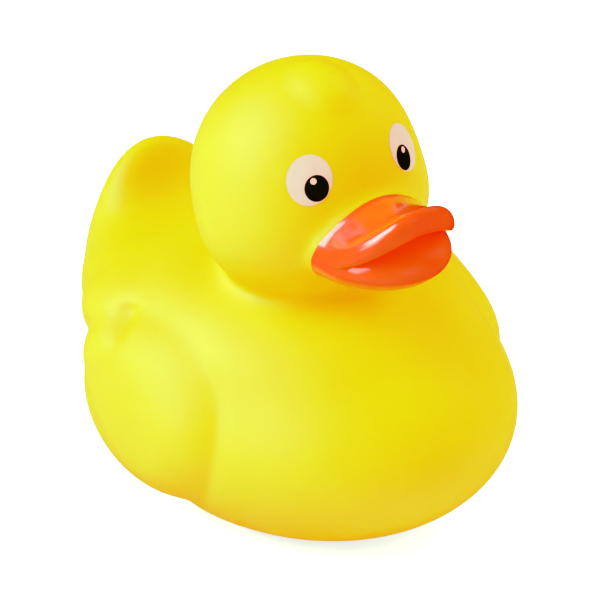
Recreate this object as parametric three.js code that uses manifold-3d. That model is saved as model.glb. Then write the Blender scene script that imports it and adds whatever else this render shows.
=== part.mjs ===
// A bath duck moulded in one piece: a hollow skin of soft vinyl with a small vent hole in its
// flat base. Millimetres, +Z up, the duck faces -Y, and X = 0 is its plane of symmetry.
//
// The form is a distance field, which is negative inside the vinyl's outer surface. Each round
// form is an ellipsoid, and forms run into each other through a blend of a given width, as they
// do in a mould cut from a clay model. Marching cubes turn the field into a mesh, whose vertices
// are then moved onto the exact surface.
import * as THREE from "three";
import { MarchingCubes } from "three/addons/objects/MarchingCubes.js";
import { mergeVertices } from "three/addons/utils/BufferGeometryUtils.js";
import Module from "manifold-3d";

// Round forms: centre, radii along X, Y and Z, and lean in degrees, which tips the form's own
// Z axis towards -Y.
const HEAD = { centre: [0, -4.0, 60.4], radii: [19.6, 17.3, 17.9], lean: 0 };
const CHEEKS = { centre: [0, -7.5, 53.4], radii: [20.6, 15.5, 14.1], lean: 0 };
const TUFT = { centre: [0, -8.3, 74.9], radii: [5.8, 6.8, 4.0], lean: 17 };
const BREAST = { centre: [0, -4.4, 17.8], radii: [34.0, 40.6, 21.6], lean: 0 };
const RUMP = { centre: [0, 6.6, 31.7], radii: [30.3, 35.1, 12.3], lean: 0 };
const TAIL = { centre: [0, 33.7, 25.5], radii: [15.4, 7.8, 22.6], lean: -20 };
const TAIL_SCOOP = { centre: [0, 25.0, 54.5], radii: [32, 15, 16.5], lean: 0 };
const LOWER_BILL = { centre: [0, -23.3, 52.8], radii: [11.9, 13.5, 5.3], lean: -2.5 };

// Each wing is the flank raised inside two ovals, seen from the side (Y, Z): the main lobe, and
// a smaller tip behind and above it. The height climbs from the oval's edge and levels off inside.
// The tip has a pocket at its front end. Nothing is raised near the middle of the back.
const WING_LOBE = { centre: [-0.1, 21.2], radii: [19.6, 15.9], lean: 0, rise: 3.0, edge: 8.5 };
const WING_TIP = { centre: [14.8, 32.2], radii: [9.4, 8.0], lean: -10, rise: 1.3, edge: 8.0 };
const POCKET = { centre: [6.9, 35.1], radii: [2.4, 1.3], lean: 25, depth: 1.2 };
const FLANK = { from: 16, to: 26 };

// Upper bill: a rounded spatula. Its top and the mouth line below are arches, both higher at the
// tip than at the root, and a dish is pressed into the top. The arches go on changing up to
// archesRunTo lengths from the root. Both surfaces slope, so the distance to them is about
// distanceShare of the height over them.
const UPPER_BILL = {
  rootY: -23.4,
  halfWidth: 11.9,
  length: 12.7,
  squareness: 2.4,
  rim: 1.2,
  topZ: { root: 61.4, tip: 64.4 },
  topArch: { root: 0.054, tip: 0.048 },
  mouthZ: { root: 59.4, tip: 60.0 },
  mouthArch: 0.045,
  leastDepth: 1.8,
  archesRunTo: 1.1,
  distanceShare: 0.85,
};
const DISH = { centreY: -27.7, radiusX: 10.0, radiusY: 7.0, depth: 3.2, falloff: 1.3 };

// Widths of the blends.
const CHEEK_BLEND = 8;
const TUFT_BLEND = 2;
const RUMP_BLEND = 14;
const TAIL_BLEND = 11;
const SCOOP_BLEND = 5;
const CREASE_BLEND = 1.2;
const NECK_BLEND = 7;
const BILL_DEPTH_BLEND = 1;
const MOUTH_BLEND = 0.8;
const FACE_BLEND = 4;
const BASE_EDGE_BLEND = 4;

// The skin and the base.
const WALL = 2.0;
const BASE_TRIM = 0.3;
const VENT_DIAMETER = 4.0;
const VENT_SIDES = 24;
const VENT_Y = 8.0;
const BELOW_BASE_SIDE = 200;

// Meshing. Each field is sampled in a cube with its own cell size, which is small for the beak.
const PLUMAGE_CUBE = { centre: [0, 0, 39], side: 108, cell: 3.0 };
const BEAK_CUBE = { centre: [0, -22.5, 56], side: 38, cell: 1.2 };
const CAVITY_CUBE = { centre: [0, 0, 39], side: 116, cell: 5.0 };
const BEAK_MARGIN = 1.8;
const WELD_DISTANCE = 1e-5;
const MOST_TRIANGLES = 40000;
const SNAP_STEPS = 4;
const GRADIENT_STEP = 0.01;
const LEAST_SLOPE = 0.7;

const VINYL_YELLOW = 0xf5dc14;

// Smooth minimum and maximum, which blend over a width.
function smoothMin(a, b, width) {
  const h = Math.max(width - Math.abs(a - b), 0) / width;
  return Math.min(a, b) - (h * h * h * width) / 6;
}

function smoothMax(a, b, width) {
  return -smoothMin(-a, -b, width);
}

// Nearly the distance to an ellipse or ellipsoid, from the offsets to its centre along its axes.
function ovalDistance(offsets, radii) {
  let scaled = 0;
  let slope = 0;
  offsets.forEach((offset, i) => {
    scaled += (offset / radii[i]) ** 2;
    slope += (offset / radii[i] ** 2) ** 2;
  });
  const reach = Math.sqrt(scaled);
  return (reach * (reach - 1)) / Math.max(Math.sqrt(slope), 1e-9);
}

// Turns the offsets (y, z) of a side view into the axes of a form that leans.
function leant(y, z, degrees) {
  const angle = THREE.MathUtils.degToRad(degrees);
  const cos = Math.cos(angle);
  const sin = Math.sin(angle);
  return [y * cos + z * sin, z * cos - y * sin];
}

function ellipsoid(form, x, y, z) {
  const [cx, cy, cz] = form.centre;
  return ovalDistance([x - cx, ...leant(y - cy, z - cz, form.lean)], form.radii);
}

function lobeDistance(lobe, y, z) {
  const [cy, cz] = lobe.centre;
  return ovalDistance(leant(y - cy, z - cz, lobe.lean), lobe.radii);
}

// How far a lobe is raised.
function raised(lobe, y, z) {
  const inside = Math.min(smoothMax(-lobeDistance(lobe, y, z), 0, CREASE_BLEND) / lobe.edge, 1);
  return lobe.rise * (1 - (1 - inside) ** 2);
}

// How far a wing stands proud of the flank.
function wingHeight(y, z) {
  const height = raised(WING_LOBE, y, z) + raised(WING_TIP, y, z);
  const [cy, cz] = POCKET.centre;
  const [along, across] = leant(y - cy, z - cz, POCKET.lean);
  const reach = (along / POCKET.radii[0]) ** 2 + (across / POCKET.radii[1]) ** 2;
  return height - POCKET.depth * Math.exp(-reach);
}

function bodyForm(x, y, z) {
  const torso = smoothMin(ellipsoid(BREAST, x, y, z), ellipsoid(RUMP, x, y, z), RUMP_BLEND);
  const tailed = smoothMin(torso, ellipsoid(TAIL, x, y, z), TAIL_BLEND);
  const body = smoothMax(tailed, -ellipsoid(TAIL_SCOOP, x, y, z), SCOOP_BLEND);
  const onFlank = THREE.MathUtils.smoothstep(Math.abs(x), FLANK.from, FLANK.to);
  return body - onFlank * wingHeight(y, z);
}

function headForm(x, y, z) {
  const skull = smoothMin(ellipsoid(HEAD, x, y, z), ellipsoid(CHEEKS, x, y, z), CHEEK_BLEND);
  return smoothMin(skull, ellipsoid(TUFT, x, y, z), TUFT_BLEND);
}

function upperBill(x, y, z) {
  const b = UPPER_BILL;
  const forward = THREE.MathUtils.clamp((b.rootY - y) / b.length, 0, b.archesRunTo);
  const topArch = THREE.MathUtils.lerp(b.topArch.root, b.topArch.tip, forward);
  const crown = THREE.MathUtils.lerp(b.topZ.root, b.topZ.tip, forward) - topArch * x * x;
  const mouth = THREE.MathUtils.lerp(b.mouthZ.root, b.mouthZ.tip, forward) - b.mouthArch * x * x;
  const dishReach = (x / DISH.radiusX) ** 2 + ((y - DISH.centreY) / DISH.radiusY) ** 2;
  const dished = crown - DISH.depth * Math.max(1 - dishReach, 0) ** DISH.falloff;
  const top = smoothMax(dished, mouth + b.leastDepth, BILL_DEPTH_BLEND);
  // Seen from above, the outline is a superellipse.
  const n = b.squareness;
  const width = b.halfWidth - b.rim;
  const length = b.length - b.rim;
  const across = Math.abs(x) / width;
  const along = Math.abs(y - b.rootY) / length;
  const reach = Math.max((across ** n + along ** n) ** (1 / n), 1e-6);
  const slope = Math.hypot(across ** (n - 1) / width, along ** (n - 1) / length) / reach ** (n - 1);
  const outline = (reach - 1) / Math.max(slope, 1e-3);
  const face = b.distanceShare * (Math.max(z - top, mouth - z) + b.rim);
  const outside = Math.hypot(Math.max(outline, 0), Math.max(face, 0));
  return outside + Math.min(Math.max(outline, face), 0) - b.rim;
}

function beakForm(x, y, z) {
  return smoothMin(upperBill(x, y, z), ellipsoid(LOWER_BILL, x, y, z), MOUTH_BLEND);
}

function plumageForm(x, y, z) {
  return smoothMin(bodyForm(x, y, z), headForm(x, y, z), NECK_BLEND);
}

// The outside of the duck without its beak.
function plumageSurface(x, y, z) {
  return smoothMax(plumageForm(x, y, z), -z - BASE_TRIM, BASE_EDGE_BLEND);
}

// The outside of the beak, with the part of the face around it that blends into it.
function beakSurface(x, y, z) {
  const beak = beakForm(x, y, z);
  return Math.max(smoothMin(plumageForm(x, y, z), beak, FACE_BLEND), beak - BEAK_MARGIN);
}

// The inside of the skin. The beak is solid, as it is too slim for the vinyl to leave a hollow.
function cavitySurface(x, y, z) {
  return smoothMax(plumageForm(x, y, z) + WALL, WALL - z, BASE_EDGE_BLEND);
}

// Moves a point along the field's gradient until the field is zero there. In a crease the slopes
// of two forms cancel out, so the slope has a lower limit, which keeps each step short.
function snapToSurface(field, point) {
  const g = new THREE.Vector3();
  for (let step = 0; step < SNAP_STEPS; step += 1) {
    const { x, y, z } = point;
    g.set(
      field(x + GRADIENT_STEP, y, z) - field(x - GRADIENT_STEP, y, z),
      field(x, y + GRADIENT_STEP, z) - field(x, y - GRADIENT_STEP, z),
      field(x, y, z + GRADIENT_STEP) - field(x, y, z - GRADIENT_STEP),
    ).divideScalar(2 * GRADIENT_STEP);
    point.addScaledVector(g, -field(x, y, z) / Math.max(g.lengthSq(), LEAST_SLOPE ** 2));
  }
}

// Polygonises the inside of a field, sampled in a cube.
function polygonise(field, { centre, side, cell }) {
  const count = Math.round(side / cell);
  const half = side / 2;
  const middle = new THREE.Vector3(...centre);
  const cubes = new MarchingCubes(count, new THREE.MeshBasicMaterial(), false, false, MOST_TRIANGLES);
  cubes.isolation = 0;
  const point = new THREE.Vector3();
  let sample = 0;
  for (let k = 0; k < count; k += 1) {
    for (let j = 0; j < count; j += 1) {
      for (let i = 0; i < count; i += 1) {
        point.set(i, j, k).divideScalar(count / 2).subScalar(1).multiplyScalar(half).add(middle);
        cubes.field[sample] = -field(point.x, point.y, point.z);
        sample += 1;
      }
    }
  }
  cubes.update();

  const corners = cubes.positionArray.slice(0, 3 * cubes.count);
  const geometry = new THREE.BufferGeometry();
  geometry.setAttribute("position", new THREE.BufferAttribute(corners, 3));
  geometry.scale(half, half, half);
  geometry.translate(...centre);
  const welded = mergeVertices(geometry, WELD_DISTANCE);

  const position = welded.getAttribute("position");
  for (let v = 0; v < position.count; v += 1) {
    point.fromBufferAttribute(position, v);
    snapToSurface(field, point);
    position.setXYZ(v, ...point.toArray());
  }
  return welded;
}

const wasm = await Module();
wasm.setup();

// Welds the corners of a box or cylinder, which three.js keeps apart for their normals.
function weld(geometry) {
  geometry.deleteAttribute("normal");
  geometry.deleteAttribute("uv");
  return mergeVertices(geometry, WELD_DISTANCE);
}

function toSolid(welded) {
  const mesh = new wasm.Mesh({
    numProp: 3,
    vertProperties: welded.getAttribute("position").array,
    triVerts: new Uint32Array(welded.index.array),
  });
  return new wasm.Manifold(mesh);
}

function toGeometry(solid) {
  const mesh = solid.getMesh();
  const geometry = new THREE.BufferGeometry();
  geometry.setAttribute("position", new THREE.BufferAttribute(mesh.vertProperties, 3));
  geometry.setIndex(new THREE.BufferAttribute(mesh.triVerts, 1));
  geometry.computeVertexNormals();
  return geometry;
}

// The flat base is cut at Z = 0, through the rounded bottom edge.
const belowBase = new THREE.BoxGeometry(BELOW_BASE_SIDE, BELOW_BASE_SIDE, BELOW_BASE_SIDE);
belowBase.translate(0, 0, -BELOW_BASE_SIDE / 2);

const vent = new THREE.CylinderGeometry(VENT_DIAMETER / 2, VENT_DIAMETER / 2, 6 * WALL, VENT_SIDES);
vent.rotateX(Math.PI / 2);
vent.translate(0, VENT_Y, 0);

const skin = toSolid(polygonise(plumageSurface, PLUMAGE_CUBE))
  .subtract(toSolid(weld(belowBase)))
  .add(toSolid(polygonise(beakSurface, BEAK_CUBE)))
  .subtract(toSolid(polygonise(cavitySurface, CAVITY_CUBE)))
  .subtract(toSolid(weld(vent)));

const duckBody = new THREE.Mesh(
  toGeometry(skin),
  new THREE.MeshStandardMaterial({ color: VINYL_YELLOW, roughness: 0.6, metalness: 0 }),
);
duckBody.name = "duck_body";

const group = new THREE.Group();
group.add(duckBody);

export default group;
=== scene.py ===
"""A bath duck of soft yellow vinyl with a painted beak and printed eyes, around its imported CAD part.

The duck's form is a distance field in millimetres: +Z up, facing -Y, mirrored in X = 0, and
negative inside. It is the CAD's form with a few finer details: a groove round each wing, a deeper
pocket, a tighter neck and a rounder edge on the upper bill. The vinyl skin is meshed from it
finely, and every coat of paint is a thin closed shell that follows the skin.
"""

import math

import bpy
import numpy as np
import openvdb
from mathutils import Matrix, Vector


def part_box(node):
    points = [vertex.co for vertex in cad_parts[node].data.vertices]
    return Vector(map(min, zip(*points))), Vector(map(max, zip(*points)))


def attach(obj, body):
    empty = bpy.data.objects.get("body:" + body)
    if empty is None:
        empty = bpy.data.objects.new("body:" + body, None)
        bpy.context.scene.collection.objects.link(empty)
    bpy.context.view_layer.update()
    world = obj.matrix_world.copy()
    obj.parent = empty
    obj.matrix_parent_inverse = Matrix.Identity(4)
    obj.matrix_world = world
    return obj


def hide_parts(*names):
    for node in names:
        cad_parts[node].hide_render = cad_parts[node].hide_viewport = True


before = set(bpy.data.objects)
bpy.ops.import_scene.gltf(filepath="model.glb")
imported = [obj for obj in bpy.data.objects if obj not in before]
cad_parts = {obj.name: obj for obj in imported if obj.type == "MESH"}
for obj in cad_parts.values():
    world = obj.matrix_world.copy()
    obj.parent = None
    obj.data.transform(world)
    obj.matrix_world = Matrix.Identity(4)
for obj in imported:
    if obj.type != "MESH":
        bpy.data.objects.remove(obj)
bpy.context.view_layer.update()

# ---------------------------------------------------------------------------------------------
# Form. Millimetres, and degrees of lean, which tips a form's own Z axis towards -Y.

HEAD = {"centre": (0, -4.0, 60.4), "radii": (19.6, 17.3, 17.9), "lean": 0}
CHEEKS = {"centre": (0, -7.5, 53.4), "radii": (20.6, 15.5, 14.1), "lean": 0}
TUFT = {"centre": (0, -8.3, 74.9), "radii": (5.8, 6.8, 4.0), "lean": 17}
BREAST = {"centre": (0, -4.4, 17.8), "radii": (34.0, 40.6, 21.6), "lean": 0}
RUMP = {"centre": (0, 6.6, 31.7), "radii": (30.3, 35.1, 12.3), "lean": 0}
TAIL = {"centre": (0, 33.7, 25.5), "radii": (15.4, 7.8, 22.6), "lean": -20}
TAIL_SCOOP = {"centre": (0, 25.0, 54.5), "radii": (32, 15, 16.5), "lean": 0}
LOWER_BILL = {"centre": (0, -23.3, 52.8), "radii": (11.9, 13.5, 5.3), "lean": -2.5}

# Each wing is the flank raised inside two ovals, seen from the side (Y, Z). The height climbs from
# the oval's edge and levels off inside. A faint groove runs round the lobe, and the tip has a
# pocket at its front end. Nothing is raised near the middle of the back.
WING_LOBE = {"centre": (-0.1, 21.2), "radii": (19.6, 15.9), "lean": 0, "rise": 3.0, "edge": 8.5}
WING_TIP = {"centre": (14.8, 32.2), "radii": (9.4, 8.0), "lean": -10, "rise": 1.3, "edge": 8.0}
CREASE_BLEND = 1.2
GROOVE = {"depth": 0.35, "width": 2.0}
POCKET = {"centre": (6.8, 34.9), "radii": (2.6, 1.5), "lean": 25, "depth": 1.8}
FLANK_FROM = 16
FLANK_TO = 26

# Upper bill: a rounded spatula between two arches, with a dish pressed into its top. The arches go
# on changing up to ARCHES_RUN_TO lengths from the root. Both surfaces slope, so the distance to
# them is about DISTANCE_SHARE of the height over them.
BILL_ROOT_Y = -23.4
BILL_HALF_WIDTH = 11.9
BILL_LENGTH = 12.7
BILL_SQUARENESS = 2.4
BILL_RIM = 1.5
BILL_TOP_Z = (61.4, 64.4)
BILL_TOP_ARCH = (0.054, 0.048)
MOUTH_Z = (59.4, 60.0)
MOUTH_ARCH = 0.045
BILL_LEAST_DEPTH = 1.8
ARCHES_RUN_TO = 1.1
DISTANCE_SHARE = 0.85
DISH_CENTRE_Y = -27.7
DISH_RADII = (10.0, 7.0)
DISH_DEPTH = 3.2
DISH_FALLOFF = 1.3

# Widths of the blends.
CHEEK_BLEND = 8
TUFT_BLEND = 2
RUMP_BLEND = 14
TAIL_BLEND = 11
SCOOP_BLEND = 5
NECK_BLEND = 5.5
BILL_DEPTH_BLEND = 1
MOUTH_BLEND = 0.8
FACE_BLEND = 4
BASE_EDGE_BLEND = 4

# The flat base and its vent, which is blind here.
BASE_TRIM = 0.3
VENT_RADIUS = 2.0
VENT_Y = 8.0
VENT_DEPTH = 9.0


def smooth_min(a, b, width):
    """The lesser of two fields, blended over a width."""
    h = np.maximum(width - np.abs(a - b), 0) / width
    return np.minimum(a, b) - h**3 * width / 6


def smooth_max(a, b, width):
    """The greater of two fields, blended over a width."""
    return -smooth_min(-a, -b, width)


def oval_distance(offsets, radii):
    """Nearly the distance to an ellipse or ellipsoid, from the offsets to its centre along its axes."""
    scaled = sum((o / r) ** 2 for o, r in zip(offsets, radii))
    slope = sum((o / r**2) ** 2 for o, r in zip(offsets, radii))
    reach = np.sqrt(scaled)
    return reach * (reach - 1) / np.maximum(np.sqrt(slope), 1e-9)


def leant(y, z, degrees):
    """Offsets (y, z) in the axes of a form that leans."""
    cos, sin = math.cos(math.radians(degrees)), math.sin(math.radians(degrees))
    return y * cos + z * sin, z * cos - y * sin


def ellipsoid(form, x, y, z):
    cx, cy, cz = form["centre"]
    return oval_distance((x - cx, *leant(y - cy, z - cz, form["lean"])), form["radii"])


def on_flank(x):
    """0 along the back and 1 on the flanks."""
    share = np.clip((np.abs(x) - FLANK_FROM) / (FLANK_TO - FLANK_FROM), 0, 1)
    return share * share * (3 - 2 * share)


def lobe_distance(lobe, y, z):
    """Nearly the distance to an oval of the wing, seen from the side."""
    cy, cz = lobe["centre"]
    return oval_distance(leant(y - cy, z - cz, lobe["lean"]), lobe["radii"])


def raised(lobe, y, z):
    """How far an oval of the wing is raised."""
    inside = np.minimum(smooth_max(-lobe_distance(lobe, y, z), 0, CREASE_BLEND) / lobe["edge"], 1)
    return lobe["rise"] * (1 - (1 - inside) ** 2)


def wing_height(y, z):
    """How far a wing stands proud of the flank."""
    height = raised(WING_LOBE, y, z) + raised(WING_TIP, y, z)
    across = lobe_distance(WING_LOBE, y, z) / GROOVE["width"]
    cy, cz = POCKET["centre"]
    offsets = leant(y - cy, z - cz, POCKET["lean"])
    reach = sum((o / r) ** 2 for o, r in zip(offsets, POCKET["radii"]))
    return height - GROOVE["depth"] * np.exp(-(across**2)) - POCKET["depth"] * np.exp(-reach)


def body_form(x, y, z):
    torso = smooth_min(ellipsoid(BREAST, x, y, z), ellipsoid(RUMP, x, y, z), RUMP_BLEND)
    body = smooth_min(torso, ellipsoid(TAIL, x, y, z), TAIL_BLEND)
    body = smooth_max(body, -ellipsoid(TAIL_SCOOP, x, y, z), SCOOP_BLEND)
    return body - on_flank(x) * wing_height(y, z)


def head_form(x, y, z):
    skull = smooth_min(ellipsoid(HEAD, x, y, z), ellipsoid(CHEEKS, x, y, z), CHEEK_BLEND)
    return smooth_min(skull, ellipsoid(TUFT, x, y, z), TUFT_BLEND)


def upper_bill(x, y, z):
    forward = np.clip((BILL_ROOT_Y - y) / BILL_LENGTH, 0, ARCHES_RUN_TO)

    def along(ends):
        return ends[0] + (ends[1] - ends[0]) * forward

    crown = along(BILL_TOP_Z) - along(BILL_TOP_ARCH) * x**2
    mouth = along(MOUTH_Z) - MOUTH_ARCH * x**2
    reach = (x / DISH_RADII[0]) ** 2 + ((y - DISH_CENTRE_Y) / DISH_RADII[1]) ** 2
    dished = crown - DISH_DEPTH * np.maximum(1 - reach, 0) ** DISH_FALLOFF
    top = smooth_max(dished, mouth + BILL_LEAST_DEPTH, BILL_DEPTH_BLEND)
    # Seen from above, the outline is a superellipse.
    n = BILL_SQUARENESS
    width, length = BILL_HALF_WIDTH - BILL_RIM, BILL_LENGTH - BILL_RIM
    a, b = np.abs(x) / width, np.abs(y - BILL_ROOT_Y) / length
    reach = np.maximum((a**n + b**n) ** (1 / n), 1e-6)
    slope = np.hypot(a ** (n - 1) / width, b ** (n - 1) / length) / reach ** (n - 1)
    outline = (reach - 1) / np.maximum(slope, 1e-3)
    face = DISTANCE_SHARE * (np.maximum(z - top, mouth - z) + BILL_RIM)
    outside = np.hypot(np.maximum(outline, 0), np.maximum(face, 0))
    return outside + np.minimum(np.maximum(outline, face), 0) - BILL_RIM


def beak_form(x, y, z):
    return smooth_min(upper_bill(x, y, z), ellipsoid(LOWER_BILL, x, y, z), MOUTH_BLEND)


def duck_surface(x, y, z):
    """The outside of the whole duck."""
    plumage = smooth_min(body_form(x, y, z), head_form(x, y, z), NECK_BLEND)
    duck = smooth_min(plumage, beak_form(x, y, z), FACE_BLEND)
    return smooth_max(duck, -z - BASE_TRIM, BASE_EDGE_BLEND)


# The beak is painted where its own form is nearer than the head's by this much.
PAINT_INSET = 1.1
# How deep the skin lies under the beak's coat, so that only the coat shows there, and how far
# inside the coat's edge it gets to that depth.
COAT_BED = 0.3
BED_SLOPE = 0.3
# Below this height the same rule would also pick out part of the breast, which has no coat.
LOWEST_PAINT = 44.4


def beak_paint(x, y, z):
    """Negative where the beak is painted."""
    return beak_form(x, y, z) - head_form(x, y, z) + PAINT_INSET


def skin_surface(x, y, z):
    """The outside of the vinyl: let in a little under the beak's coat, flat below, with its vent."""
    bed_share = np.clip(-beak_paint(x, y, z) / BED_SLOPE, 0, 1)
    under_coat = np.where(z > LOWEST_PAINT, bed_share, 0)
    skin = np.maximum(duck_surface(x, y, z) + COAT_BED * under_coat, -z)
    vent = np.maximum(np.hypot(x, y - VENT_Y) - VENT_RADIUS, z - VENT_DEPTH)
    return np.maximum(skin, -vent)


# ---------------------------------------------------------------------------------------------
# Meshing.

# In a crease the slopes of two forms cancel out, so the slope has a lower limit, which keeps each
# step of a point towards the surface short.
SNAP_STEPS = 4
LEAST_SLOPE = 0.6
GRADIENT_STEP = 0.01
# At a coat's edge: points nearer to it than this share of a cell are moved onto it.
EDGE_PULL = 0.3
EDGE_STEPS = 3
EDGE_LEAST_SLOPE_SQUARED = 0.1


def gradient(field, points):
    """The field's gradient at each point."""
    slopes = []
    for axis in range(3):
        step = np.zeros(3)
        step[axis] = GRADIENT_STEP
        rise = field(*(points + step).T) - field(*(points - step).T)
        slopes.append(rise / (2 * GRADIENT_STEP))
    return np.stack(slopes, axis=1)


def snap(field, points, steps=SNAP_STEPS):
    """Moves points onto the surface where the field is zero."""
    for _ in range(steps):
        g = gradient(field, points)
        steep = np.maximum((g**2).sum(1), LEAST_SLOPE**2)
        points = points - g * (field(*points.T) / steep)[:, None]
    return points


def polygonise(field, low, high, cell):
    """Points and quads of the surface where the field is zero, facing out."""
    axes = [np.arange(a, b + cell, cell) for a, b in zip(low, high)]
    x, y, z = np.meshgrid(*axes, indexing="ij", sparse=True)
    grid = openvdb.FloatGrid(background=10.0)
    values = field(x, y, z) + np.zeros((len(axes[0]), len(axes[1]), len(axes[2])))
    grid.copyFromArray(values.astype(np.float32))
    points, quads = grid.convertToQuads(isovalue=0)
    return np.array(low) + points.astype(float) * cell, quads.astype(int)


def unit(vectors):
    return vectors / np.linalg.norm(vectors, axis=1, keepdims=True)


def make_piece(name, points, faces, material, slot, smooth_angle=50):
    """A mesh object from points in millimetres, smooth except where faces meet at a sharp angle."""
    mesh = bpy.data.meshes.new(name)
    mesh.from_pydata((np.asarray(points) / 1000).tolist(), [], [list(map(int, f)) for f in faces])
    mesh.validate()
    mesh.materials.append(material)
    piece = bpy.data.objects.new(name, mesh)
    bpy.context.scene.collection.objects.link(piece)
    mesh.polygons.foreach_set("use_smooth", [True] * len(mesh.polygons))
    mesh.set_sharp_from_angle(angle=math.radians(smooth_angle))
    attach(piece, "root")
    return piece


def shell(points, faces, normals, proud, depth):
    """A closed coat from an open patch: its face stands proud of the patch, its back lies under it."""
    count = len(points)
    face_side = points + normals * proud
    back_side = points - normals * depth
    edges = dict.fromkeys((int(a), int(b)) for f in faces for a, b in zip(f, np.roll(f, -1)))
    rim = [(a, b) for a, b in edges if (b, a) not in edges]
    all_faces = [tuple(f) for f in faces]
    all_faces += [tuple(i + count for i in reversed(tuple(f))) for f in faces]
    all_faces += [(b, a, a + count, b + count) for a, b in rim]
    return np.vstack([face_side, back_side]), all_faces


def cut_patch(field, level, points, quads, cell):
    """The part of a surface where a second field is negative, with its edge exactly on zero."""
    triangles = np.vstack([quads[:, [0, 1, 2]], quads[:, [0, 2, 3]]])

    def onto_edge(p):
        for _ in range(EDGE_STEPS):
            for f in (level, field):
                g = gradient(f, p)
                steep = np.maximum((g**2).sum(1), EDGE_LEAST_SLOPE_SQUARED)
                p = p - g * (f(*p.T) / steep)[:, None]
        return p

    value = level(*points.T)
    slope = np.linalg.norm(gradient(level, points), axis=1)
    near = np.abs(value) < EDGE_PULL * cell * slope
    points = points.copy()
    points[near] = onto_edge(points[near])
    value[near] = 0
    inside = value < 0
    outside = value > 0
    keep = (inside[triangles].any(1)) & ~(outside[triangles].any(1))
    mixed = inside[triangles].any(1) & outside[triangles].any(1)
    made = [tuple(t) for t in triangles[keep]]
    crossings, fresh = {}, []

    def crossing(a, b):
        key = (min(a, b), max(a, b))
        if key not in crossings:
            share = value[a] / (value[a] - value[b])
            crossings[key] = len(points) + len(fresh)
            fresh.append(points[a] + (points[b] - points[a]) * share)
        return crossings[key]

    for t in triangles[mixed]:
        ring = []
        for a, b in zip(t, np.roll(t, -1)):
            if value[a] <= 0:
                ring.append(int(a))
            if value[a] * value[b] < 0:
                ring.append(crossing(int(a), int(b)))
        made += [(ring[0], ring[i], ring[i + 1]) for i in range(1, len(ring) - 1)]
    if fresh:
        points = np.vstack([points, onto_edge(np.array(fresh))])
    used = np.unique(np.array(made))
    order = {int(v): i for i, v in enumerate(used)}
    return points[used], [tuple(order[int(v)] for v in f) for f in made]


def oval_patch(centre, across, up, radii, rings=14, sides=72):
    """An oval in rings round its centre, laid onto the duck's surface."""
    points, faces = [centre], []
    for ring in range(1, rings + 1):
        for side in range(sides):
            angle = 2 * math.pi * side / sides
            reach = ring / rings
            offset = across * math.cos(angle) * radii[0] + up * math.sin(angle) * radii[1]
            points.append(centre + offset * reach)
    for side in range(sides):
        after = (side + 1) % sides
        faces.append((0, 1 + side, 1 + after))
        for ring in range(rings - 1):
            a, b = 1 + ring * sides, 1 + (ring + 1) * sides
            faces.append((a + side, b + side, b + after, a + after))
    return snap(duck_surface, np.array(points), PRINT_SNAP_STEPS), faces


# ---------------------------------------------------------------------------------------------
# Materials.


def new_material(name, **settings):
    material = bpy.data.materials.new(name)
    material.use_nodes = True
    shader = material.node_tree.nodes["Principled BSDF"]
    for socket, value in settings.items():
        shader.inputs[socket.replace("_", " ")].default_value = value
    return material, shader


def add_node(owner, kind, inputs=None, **properties):
    """A node in a material or a world. Its inputs are values or the sockets that feed them."""
    node = owner.node_tree.nodes.new(kind)
    for key, value in properties.items():
        setattr(node, key, value)
    for key, value in (inputs or {}).items():
        if isinstance(value, bpy.types.NodeSocket):
            owner.node_tree.links.new(value, node.inputs[key])
        else:
            node.inputs[key].default_value = value
    return node


def noise(material, scale, detail=2.0, roughness=0.5):
    """Noise in the object's own space, with features of about 1 / scale metres."""
    place = add_node(material, "ShaderNodeTexCoord").outputs["Object"]
    inputs = {"Vector": place, "Scale": scale, "Detail": detail, "Roughness": roughness}
    return add_node(material, "ShaderNodeTexNoise", inputs).outputs["Fac"]


def ramp(material, factor, low, high):
    """Maps noise, which keeps to the middle of 0 to 1, onto low to high."""
    inputs = {"Value": factor, "From Min": 0.3, "From Max": 0.7, "To Min": low, "To Max": high}
    return add_node(material, "ShaderNodeMapRange", inputs).outputs["Result"]


def blend_colours(material, factor, a, b):
    node = add_node(material, "ShaderNodeMix", data_type="RGBA")
    node.inputs["A"].default_value = (*a, 1)
    node.inputs["B"].default_value = (*b, 1)
    material.node_tree.links.new(factor, node.inputs["Factor"])
    return node.outputs["Result"]


def bump(material, shader, height, strength, distance):
    inputs = {"Height": height, "Strength": strength, "Distance": distance}
    node = add_node(material, "ShaderNodeBump", inputs)
    material.node_tree.links.new(node.outputs["Normal"], shader.inputs["Normal"])


VINYL_COLOURS = ((0.73, 0.575, 0.017), (0.745, 0.595, 0.021))
BEAK_COLOURS = ((1.0, 0.078, 0.024), (1.0, 0.106, 0.028))
EYE_WHITE_COLOURS = ((0.82, 0.55, 0.39), (0.85, 0.58, 0.42))
EYE_BLACK_COLOURS = ((0.003, 0.003, 0.004), (0.002, 0.002, 0.003))
FLOOR_COLOURS = ((0.87, 0.87, 0.87), (0.89, 0.89, 0.89))
# How far the bumps of a surface's grain rise, in metres.
GRAIN_HEIGHT = 0.0001


def vinyl_material():
    """Soft matt vinyl: light spreads in it, its colour varies a little, and it has a fine grain."""
    material, shader = new_material(
        "vinyl",
        Subsurface_Weight=0.35,
        Subsurface_Radius=(1.0, 0.45, 0.06),
        Subsurface_Scale=0.004,
        IOR=1.5,
        Specular_IOR_Level=0.38,
    )
    links = material.node_tree.links
    tint = blend_colours(material, ramp(material, noise(material, 60), 0, 1), *VINYL_COLOURS)
    links.new(tint, shader.inputs["Base Color"])
    rough = ramp(material, noise(material, 140, 3), 0.54, 0.62)
    links.new(rough, shader.inputs["Roughness"])
    bump(material, shader, noise(material, 2600, 3, 0.6), 0.12, GRAIN_HEIGHT)
    return material


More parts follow.
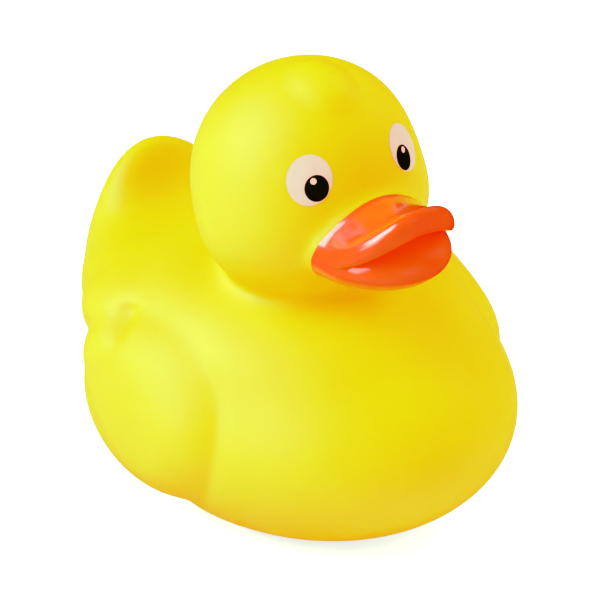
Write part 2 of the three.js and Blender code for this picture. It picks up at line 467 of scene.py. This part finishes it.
def beak_material():
    """Glossy orange-red paint, brushed on a little unevenly."""
    material, shader = new_material("beak_paint", IOR=1.5, Coat_Weight=1.0, Coat_Roughness=0.08)
    links = material.node_tree.links
    tint = blend_colours(material, ramp(material, noise(material, 120), 0, 1), *BEAK_COLOURS)
    links.new(tint, shader.inputs["Base Color"])
    links.new(ramp(material, noise(material, 300, 3), 0.16, 0.22), shader.inputs["Roughness"])
    bump(material, shader, noise(material, 500, 2), 0.04, GRAIN_HEIGHT)
    return material


def print_material(name, colours, roughness, specular):
    """Satin print on the eyes."""
    material, shader = new_material(name, IOR=1.45, Specular_IOR_Level=specular)
    links = material.node_tree.links
    tint = blend_colours(material, ramp(material, noise(material, 500), 0, 1), *colours)
    links.new(tint, shader.inputs["Base Color"])
    rough = ramp(material, noise(material, 1500, 3), roughness - 0.04, roughness + 0.04)
    links.new(rough, shader.inputs["Roughness"])
    bump(material, shader, noise(material, 3000, 2), 0.06, GRAIN_HEIGHT)
    return material


# The floor and the backdrop are overexposed: they glow, and the floor glows more away from the
# duck, so that the contact shadow shows; the dimmer glow near the duck is painted shade round it.
# Radii are in metres.
FLOOR_GLOW_NEAR = 0.8
FLOOR_GLOW_FAR = 1.2
GLOW_RISES_FROM = 0.05
GLOW_RISES_TO = 0.13
GLOW_COLOUR = (1, 0.77, 0.78, 1)


def floor_material():
    material, shader = new_material("floor", Roughness=0.9, Specular_IOR_Level=0.2)
    tint = blend_colours(material, ramp(material, noise(material, 4), 0, 1), *FLOOR_COLOURS)
    material.node_tree.links.new(tint, shader.inputs["Base Color"])
    # The glow is seen, but throws no light on the duck.
    shader.inputs["Emission Color"].default_value = GLOW_COLOUR
    seen = add_node(material, "ShaderNodeLightPath").outputs["Is Camera Ray"]
    place = add_node(material, "ShaderNodeTexCoord").outputs["Object"]
    radius = add_node(material, "ShaderNodeVectorMath", {0: place}, operation="LENGTH").outputs["Value"]
    # Painted shade: the floor's glow is dimmer near the duck than further out.
    inputs = {
        "Value": radius,
        "From Min": GLOW_RISES_FROM,
        "From Max": GLOW_RISES_TO,
        "To Min": FLOOR_GLOW_NEAR,
        "To Max": FLOOR_GLOW_FAR,
    }
    level = add_node(material, "ShaderNodeMapRange", inputs, interpolation_type="SMOOTHSTEP")
    level = level.outputs["Result"]
    glow = add_node(material, "ShaderNodeMath", {0: seen, 1: level}, operation="MULTIPLY")
    material.node_tree.links.new(glow.outputs[0], shader.inputs["Emission Strength"])
    return material


# ---------------------------------------------------------------------------------------------
# The duck. Millimetres, and the cells are those of the grids that the surfaces are meshed in.

SKIN_CELL = 0.6
BEAK_CELL = 0.36
BOX_MARGIN = 2.0
# A box round the beak and the face beside it. Its outermost cells are left out.
BEAK_LOW = np.array((-15, -39, 44))
BEAK_HIGH = np.array((15, -12, 68))
BEAK_BOX_EDGE = 1.5
PAINT_PROUD = 0.06
PAINT_DEPTH = 0.5

# The vinyl skin.
low, high = (np.array(corner) * 1000 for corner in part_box("duck_body"))
low, high = low - BOX_MARGIN, high + BOX_MARGIN
points, quads = polygonise(skin_surface, low, high, SKIN_CELL)
points = snap(skin_surface, points)
duck = make_piece("duck_skin", points, quads, vinyl_material(), "vinyl", smooth_angle=60)
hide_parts("duck_body")

# The beak's coat.
points, quads = polygonise(duck_surface, BEAK_LOW, BEAK_HIGH, BEAK_CELL)
inner = np.all((points > BEAK_LOW + BEAK_BOX_EDGE) & (points < BEAK_HIGH - BEAK_BOX_EDGE), axis=1)
quads = quads[inner[quads].all(1)]
points = snap(duck_surface, points)
points, faces = cut_patch(duck_surface, beak_paint, points, quads, BEAK_CELL)
normals = unit(gradient(duck_surface, points))
coat = shell(points, faces, normals, PAINT_PROUD, PAINT_DEPTH)
make_piece("beak_coat", *coat, beak_material(), "beak_paint")

# Each eye: an oval of white, a pupil on it and a glint on that. Each oval has a centre, which is
# moved onto the head, radii across and up, a turn in degrees, and how far it stands proud.
EYE_WHITE = {"centre": (9.8, -18.35, 65.9), "radii": (3.85, 4.2), "turn": 12, "proud": 0.06}
PUPIL = {"centre": (9.05, -19.3, 64.6), "radii": (2.05, 2.2), "turn": 12, "proud": 0.10}
GLINT = {"centre": (9.3, -18.7, 65.7), "radii": (0.53, 0.53), "turn": 0, "proud": 0.13}
PRINT_DEPTH = 0.25
CENTRE_SNAP_STEPS = 8
PRINT_SNAP_STEPS = 6

white = print_material("eye_white", EYE_WHITE_COLOURS, roughness=0.4, specular=0.3)
black = print_material("eye_black", EYE_BLACK_COLOURS, roughness=0.3, specular=0.06)


def add_print(name, spot, side, material, slot):
    """An oval of print on the left (1) or right (-1) of the head."""
    centre = snap(duck_surface, np.array([spot["centre"]]) * (side, 1, 1), CENTRE_SNAP_STEPS)[0]
    out = unit(gradient(duck_surface, centre[None]))[0]
    across = np.cross((0, 0, 1), out)
    across /= np.linalg.norm(across)
    up = np.cross(out, across)
    turn = math.radians(spot["turn"]) * side
    turned_across = across * math.cos(turn) + up * math.sin(turn)
    turned_up = up * math.cos(turn) - across * math.sin(turn)
    points, faces = oval_patch(centre, turned_across, turned_up, spot["radii"])
    normals = unit(gradient(duck_surface, points))
    body = shell(points, faces, normals, spot["proud"], PRINT_DEPTH)
    make_piece(name, *body, material, slot)


for side, word in ((1, "left"), (-1, "right")):
    add_print(f"eye_white_{word}", EYE_WHITE, side, white, "eye_white")
    add_print(f"pupil_{word}", PUPIL, side, black, "eye_black")
    add_print(f"glint_{word}", GLINT, side, white, "eye_white")

# ---------------------------------------------------------------------------------------------
# Floor, light and camera.

# Half the floor's side. Metres from here on.
REACH = 3.0

floor_mesh = bpy.data.meshes.new("floor")
corners = [(-REACH, -REACH, 0), (REACH, -REACH, 0), (REACH, REACH, 0), (-REACH, REACH, 0)]
floor_mesh.from_pydata(corners, [], [(0, 1, 2, 3)])
floor_mesh.materials.append(floor_material())
floor = bpy.data.objects.new("floor", floor_mesh)
bpy.context.scene.collection.objects.link(floor)
floor.visible_glossy = False

TARGET = Vector((0, -0.0025, 0.038))


def direction(azimuth, elevation):
    """From the target outwards. Azimuth 0 is in front of the duck and 90 on its left."""
    a, e = math.radians(azimuth), math.radians(elevation)
    return Vector((math.sin(a) * math.cos(e), -math.cos(a) * math.cos(e), math.sin(e)))


def add_softbox(name, azimuth, elevation, size, watts, in_gloss=True):
    """A square softbox a metre from the duck. A fill light can be kept out of glossy reflections."""
    lamp = bpy.data.lights.new(name, "AREA")
    lamp.size = size
    lamp.energy = watts
    holder = bpy.data.objects.new(name, lamp)
    away = direction(azimuth, elevation)
    holder.location = TARGET + away
    holder.rotation_euler = away.to_track_quat("Z", "Y").to_euler()
    holder.visible_glossy = in_gloss
    bpy.context.scene.collection.objects.link(holder)


add_softbox("key", -115, 45, 0.7, 10.0)
add_softbox("near_side", -95, 35, 0.7, 4.8)
add_softbox("front", 12, 24, 0.8, 5.8, in_gloss=False)
add_softbox("far_side", 95, 32, 0.8, 8.4, in_gloss=False)

# The backdrop runs on from the floor, and lights nothing.
BACKDROP_GLOW = 1.3

world = bpy.data.worlds.new("studio")
bpy.context.scene.world = world
world.use_nodes = True
background = world.node_tree.nodes["Background"]
background.inputs["Color"].default_value = GLOW_COLOUR
seen = add_node(world, "ShaderNodeLightPath").outputs["Is Camera Ray"]
glow = add_node(world, "ShaderNodeMath", {0: seen, 1: BACKDROP_GLOW}, operation="MULTIPLY")
world.node_tree.links.new(glow.outputs[0], background.inputs["Strength"])

CAMERA_AZIMUTH = -37.44
CAMERA_ELEVATION = 29.22
CAMERA_DISTANCE = 0.55
LENS = 192.65
SENSOR_WIDTH = 36
LENS_SHIFT = (0.0032, -0.0420)
NEAREST_SEEN, FURTHEST_SEEN = 0.01, 10
camera = bpy.data.objects.new("camera", bpy.data.cameras.new("camera"))
camera.data.sensor_width = SENSOR_WIDTH
camera.data.lens = LENS
camera.data.shift_x, camera.data.shift_y = LENS_SHIFT
camera.data.clip_start, camera.data.clip_end = NEAREST_SEEN, FURTHEST_SEEN
away = direction(CAMERA_AZIMUTH, CAMERA_ELEVATION)
camera.location = TARGET + away * CAMERA_DISTANCE
camera.rotation_euler = away.to_track_quat("Z", "Y").to_euler()
bpy.context.scene.collection.objects.link(camera)
bpy.context.scene.camera = camera

# How strong yellows are rendered: red flattens out before white, and little blue is left.
RED_CURVE = (
    (0.0, 0.0), (0.3, 0.42), (0.55, 0.80), (0.8, 0.828), (1.0, 0.842), (1.1, 0.868), (1.18, 0.895),
    (1.26, 1.0), (2.0, 1.6),
)
GREEN_CURVE = ((0.0, 0.0), (2.0, 2.0))
BLUE_CURVE = (
    (0.0, 0.0), (0.018, 0.001), (0.034, 0.006), (0.055, 0.04), (0.08, 0.082), (0.12, 0.125),
    (2.0, 2.0),
)
BRIGHTEST = 2.0

settings = bpy.context.scene.view_settings
settings.view_transform = "Standard"
settings.use_curve_mapping = True
mapping = settings.curve_mapping
mapping.use_clip = True
mapping.clip_max_x, mapping.clip_max_y = BRIGHTEST, BRIGHTEST
for curve, places in zip(mapping.curves, (RED_CURVE, GREEN_CURVE, BLUE_CURVE)):
    curve.points[0].location = places[0]
    curve.points[1].location = places[-1]
    for place in places[1:-1]:
        curve.points.new(*place)
mapping.curves[3].points[1].location = (BRIGHTEST, BRIGHTEST)
mapping.update()
